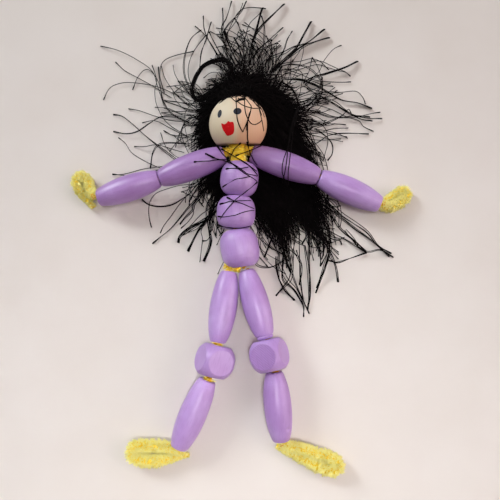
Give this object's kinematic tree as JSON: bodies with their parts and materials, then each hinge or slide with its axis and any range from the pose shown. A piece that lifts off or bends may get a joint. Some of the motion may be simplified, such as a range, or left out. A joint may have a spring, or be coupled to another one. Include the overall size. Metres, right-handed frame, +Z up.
{
  "type": "pipe cleaner doll",
  "caption": "Small bendable figure of wooden beads strung on folded pipe cleaners, with a painted ball head, looped hands and feet and loose thread hair, lying on its back.",
  "frame": {"origin": "on the surface the doll lies on, straight under its neck", "axes": "+Z up out of the doll's front, +Y towards its head, +X to the viewer's right"},
  "size_m": [0.1109, 0.1553, 0.0202],
  "materials": {
    "lilac_paint": "satin lilac paint on turned wood",
    "natural_wood": "smooth bare wood",
    "yellow_chenille": "fuzzy chenille pile",
    "black_thread": "loose multi-ply thread"
  },
  "bodies": {
    "chest": {"chest_stem": "yellow_chenille", "neck_wrap": "yellow_chenille"},
    "chest_bead": {"chest_bead": "lilac_paint"},
    "waist": {"waist_stem": "yellow_chenille"},
    "waist_bead": {"waist_bead": "lilac_paint"},
    "hip": {"hip_stem": "yellow_chenille", "hip_yoke": "yellow_chenille"},
    "hip_bead": {"hip_bead": "lilac_paint"},
    "neck": {"neck_bend": "yellow_chenille"},
    "head": {"head_stem": "yellow_chenille", "crown_fold": "yellow_chenille", "hair_mass": "black_thread", "hair_lock_top_1": "black_thread", "hair_lock_top_2": "black_thread", "hair_lock_top_3": "black_thread", "hair_lock_top_right_1": "black_thread", "hair_lock_top_right_2": "black_thread", "hair_lock_right_1": "black_thread", "hair_lock_right_2": "black_thread", "hair_lock_under_arm": "black_thread", "hair_lock_lower_right_1": "black_thread", "hair_lock_lower_right_2": "black_thread", "hair_lock_lower_right_3": "black_thread", "hair_lock_lower_left_1": "black_thread", "hair_lock_lower_left_2": "black_thread", "hair_lock_left_1": "black_thread", "hair_lock_left_2": "black_thread", "hair_lock_left_3": "black_thread"},
    "head_bead": {"head_bead": "natural_wood"},
    "left_shoulder": {"left_shoulder_bend": "yellow_chenille"},
    "left_upper_arm": {"left_upper_arm_stem": "yellow_chenille"},
    "left_upper_arm_bead": {"left_upper_arm_bead": "lilac_paint"},
    "left_forearm": {"left_forearm_stem": "yellow_chenille"},
    "left_forearm_bead": {"left_forearm_bead": "lilac_paint"},
    "left_hand": {"left_hand": "yellow_chenille"},
    "right_shoulder": {"right_shoulder_bend": "yellow_chenille"},
    "right_upper_arm": {"right_upper_arm_stem": "yellow_chenille"},
    "right_upper_arm_bead": {"right_upper_arm_bead": "lilac_paint"},
    "right_forearm": {"right_forearm_stem": "yellow_chenille"},
    "right_forearm_bead": {"right_forearm_bead": "lilac_paint"},
    "right_hand": {"right_hand": "yellow_chenille"},
    "left_hip_joint": {"left_hip_bend": "yellow_chenille"},
    "left_thigh": {"left_thigh_stem": "yellow_chenille"},
    "left_thigh_bead": {"left_thigh_bead": "lilac_paint"},
    "left_knee": {"left_knee_stem": "yellow_chenille"},
    "left_knee_bead": {"left_knee_bead": "lilac_paint"},
    "left_shin": {"left_shin_stem": "yellow_chenille"},
    "left_shin_bead": {"left_shin_bead": "lilac_paint"},
    "left_foot": {"left_foot": "yellow_chenille"},
    "right_hip_joint": {"right_hip_bend": "yellow_chenille"},
    "right_thigh": {"right_thigh_stem": "yellow_chenille"},
    "right_thigh_bead": {"right_thigh_bead": "lilac_paint"},
    "right_knee": {"right_knee_stem": "yellow_chenille"},
    "right_knee_bead": {"right_knee_bead": "lilac_paint"},
    "right_shin": {"right_shin_stem": "yellow_chenille"},
    "right_shin_bead": {"right_shin_bead": "lilac_paint"},
    "right_foot": {"right_foot": "yellow_chenille"}
  },
  "joints": [
    {"name": "chest_bead_spin", "type": "hinge", "parent": "chest", "child": "chest_bead", "pos_m": [-0.0002, -0.00753, 0.0084], "axis": [-0.1124, -0.9862, -0.1219], "continuous": true},
    {"name": "spine_upper", "type": "hinge", "parent": "chest", "child": "waist", "pos_m": [-0.0008, -0.01276, 0.00776], "axis": [0, 0, 1], "range_deg": [-15, 5]},
    {"name": "waist_bead_spin", "type": "hinge", "parent": "waist", "child": "waist_bead", "pos_m": [-0.00084, -0.01803, 0.0072], "axis": [-0.0087, -0.9945, -0.1045], "continuous": true},
    {"name": "spine_lower", "type": "hinge", "parent": "waist", "child": "hip", "pos_m": [-0.00089, -0.0233, 0.00665], "axis": [1, 0, 0], "range_deg": [-5, 10]},
    {"name": "hip_bead_spin", "type": "hinge", "parent": "hip", "child": "hip_bead", "pos_m": [-0.00015, -0.02853, 0.00623], "axis": [0.1387, -0.9872, -0.0785], "continuous": true},
    {"name": "neck_tilt", "type": "hinge", "parent": "chest", "child": "neck", "pos_m": [-0.00048, 0.00204, 0.00936], "axis": [0, 0, 1], "range_deg": [-3, 3], "deforming": ["hair_mass", "hair_lock_top_1", "hair_lock_top_2", "hair_lock_top_3", "hair_lock_top_right_1", "hair_lock_top_right_2", "hair_lock_right_1", "hair_lock_right_2", "hair_lock_under_arm", "hair_lock_lower_right_1", "hair_lock_lower_right_2", "hair_lock_lower_right_3", "hair_lock_lower_left_1", "hair_lock_lower_left_2", "hair_lock_left_1", "hair_lock_left_2", "hair_lock_left_3"]},
    {"name": "neck_nod", "type": "hinge", "parent": "neck", "child": "head", "pos_m": [-0.00048, 0.00204, 0.00936], "axis": [-1, 0, 0], "range_deg": [-20, 20], "deforming": ["hair_mass", "hair_lock_top_1", "hair_lock_top_2", "hair_lock_top_3", "hair_lock_top_right_1", "hair_lock_top_right_2", "hair_lock_right_1", "hair_lock_right_2", "hair_lock_under_arm", "hair_lock_lower_right_1", "hair_lock_lower_right_2", "hair_lock_lower_right_3", "hair_lock_lower_left_1", "hair_lock_lower_left_2", "hair_lock_left_1", "hair_lock_left_2", "hair_lock_left_3"]},
    {"name": "head_turn", "type": "hinge", "parent": "head", "child": "head_bead", "pos_m": [-0.0006, 0.0089, 0.0112], "axis": [-0.0169, 0.9658, 0.2588], "continuous": true},
    {"name": "left_shoulder_swing", "type": "hinge", "parent": "chest", "child": "left_shoulder", "pos_m": [-0.00405, 0.0002, 0.0095], "axis": [0, 0, -1], "range_deg": [-3, 6]},
    {"name": "left_shoulder_lift", "type": "hinge", "parent": "left_shoulder", "child": "left_upper_arm", "pos_m": [-0.00405, 0.0002, 0.0095], "axis": [-0.3173, 0.9483, 0], "range_deg": [-20, 25]},
    {"name": "left_upper_arm_bead_spin", "type": "hinge", "parent": "left_upper_arm", "child": "left_upper_arm_bead", "pos_m": [-0.01506, -0.00348, 0.00848], "axis": [-0.9447, -0.3161, -0.0872], "continuous": true},
    {"name": "left_elbow", "type": "hinge", "parent": "left_upper_arm", "child": "left_forearm", "pos_m": [-0.0255, -0.00698, 0.00752], "axis": [0, 0, -1], "range_deg": [-15, 10]},
    {"name": "left_forearm_bead_spin", "type": "hinge", "parent": "left_forearm", "child": "left_forearm_bead", "pos_m": [-0.03608, -0.00979, 0.00647], "axis": [-0.9619, -0.2559, -0.0958], "continuous": true},
    {"name": "left_wrist", "type": "hinge", "parent": "left_forearm", "child": "left_hand", "pos_m": [-0.04695, -0.01268, 0.00538], "axis": [0, 0, -1], "range_deg": [-60, 20]},
    {"name": "right_shoulder_swing", "type": "hinge", "parent": "chest", "child": "right_shoulder", "pos_m": [0.0034, 0.0006, 0.0094], "axis": [0, 0, 1], "range_deg": [-3, 6]},
    {"name": "right_shoulder_lift", "type": "hinge", "parent": "right_shoulder", "child": "right_upper_arm", "pos_m": [0.0034, 0.0006, 0.0094], "axis": [-0.309, -0.9511, 0], "range_deg": [-20, 25]},
    {"name": "right_upper_arm_bead_spin", "type": "hinge", "parent": "right_upper_arm", "child": "right_upper_arm_bead", "pos_m": [0.01448, -0.003, 0.00838], "axis": [0.9474, -0.3078, -0.0872], "continuous": true},
    {"name": "right_elbow", "type": "hinge", "parent": "right_upper_arm", "child": "right_forearm", "pos_m": [0.025, -0.00642, 0.00741], "axis": [0, 0, 1], "range_deg": [-5, 15]},
    {"name": "right_forearm_bead_spin", "type": "hinge", "parent": "right_forearm", "child": "right_forearm_bead", "pos_m": [0.03523, -0.01074, 0.00634], "axis": [0.9169, -0.3873, -0.0958], "continuous": true},
    {"name": "right_wrist", "type": "hinge", "parent": "right_forearm", "child": "right_hand", "pos_m": [0.04572, -0.01517, 0.00525], "axis": [0, 0, 1], "range_deg": [-60, 10]},
    {"name": "left_hip_spread", "type": "hinge", "parent": "hip", "child": "left_hip_joint", "pos_m": [-0.0034, -0.036, 0.00585], "axis": [0, 0, -1], "range_deg": [0, 45]},
    {"name": "left_hip_lift", "type": "hinge", "parent": "left_hip_joint", "child": "left_thigh", "pos_m": [-0.0034, -0.036, 0.00585], "axis": [-0.9888, 0.1495, 0], "range_deg": [-10, 45]},
    {"name": "left_thigh_bead_spin", "type": "hinge", "parent": "left_thigh", "child": "left_thigh_bead", "pos_m": [-0.00509, -0.04717, 0.00605], "axis": [-0.1495, -0.9886, 0.0175], "continuous": true},
    {"name": "left_knee_sway", "type": "hinge", "parent": "left_thigh", "child": "left_knee", "pos_m": [-0.00676, -0.05824, 0.00624], "axis": [0, 0, -1], "range_deg": [-15, 10]},
    {"name": "left_knee_bead_spin", "type": "hinge", "parent": "left_knee", "child": "left_knee_bead", "pos_m": [-0.00807, -0.06348, 0.00624], "axis": [-0.2419, -0.9703, 0], "continuous": true},
    {"name": "left_knee_bend", "type": "hinge", "parent": "left_knee", "child": "left_shin", "pos_m": [-0.00947, -0.06911, 0.00624], "axis": [-0.9245, 0.3811, 0], "range_deg": [-15, 30]},
    {"name": "left_shin_bead_spin", "type": "hinge", "parent": "left_shin", "child": "left_shin_bead", "pos_m": [-0.01384, -0.07969, 0.00514], "axis": [-0.3793, -0.9203, -0.0958], "continuous": true},
    {"name": "left_ankle", "type": "hinge", "parent": "left_shin", "child": "left_foot", "pos_m": [-0.01812, -0.09009, 0.00406], "axis": [0, 0, -1], "range_deg": [-60, 30]},
    {"name": "right_hip_spread", "type": "hinge", "parent": "hip", "child": "right_hip_joint", "pos_m": [0.00245, -0.0355, 0.00585], "axis": [0, 0, 1], "range_deg": [0, 45]},
    {"name": "right_hip_lift", "type": "hinge", "parent": "right_hip_joint", "child": "right_thigh", "pos_m": [0.00245, -0.0355, 0.00585], "axis": [-0.9641, -0.2656, 0], "range_deg": [-10, 45]},
    {"name": "right_thigh_bead_spin", "type": "hinge", "parent": "right_thigh", "child": "right_thigh_bead", "pos_m": [0.00544, -0.04634, 0.00605], "axis": [0.2655, -0.9639, 0.0175], "continuous": true},
    {"name": "right_knee_sway", "type": "hinge", "parent": "right_thigh", "child": "right_knee", "pos_m": [0.00838, -0.05704, 0.00624], "axis": [0, 0, 1], "range_deg": [-10, 10]},
    {"name": "right_knee_bead_spin", "type": "hinge", "parent": "right_knee", "child": "right_knee_bead", "pos_m": [0.00961, -0.0622, 0.00624], "axis": [0.2317, -0.9728, 0], "continuous": true},
    {"name": "right_knee_bend", "type": "hinge", "parent": "right_knee", "child": "right_shin", "pos_m": [0.01089, -0.06755, 0.00624], "axis": [-0.9952, -0.0976, 0], "range_deg": [-15, 25]},
    {"name": "right_shin_bead_spin", "type": "hinge", "parent": "right_shin", "child": "right_shin_bead", "pos_m": [0.01193, -0.07819, 0.00512], "axis": [0.097, -0.9898, -0.1045], "continuous": true},
    {"name": "right_ankle", "type": "hinge", "parent": "right_shin", "child": "right_foot", "pos_m": [0.01298, -0.08893, 0.00398], "axis": [0, 0, 1], "range_deg": [-60, 25]}
  ]
}
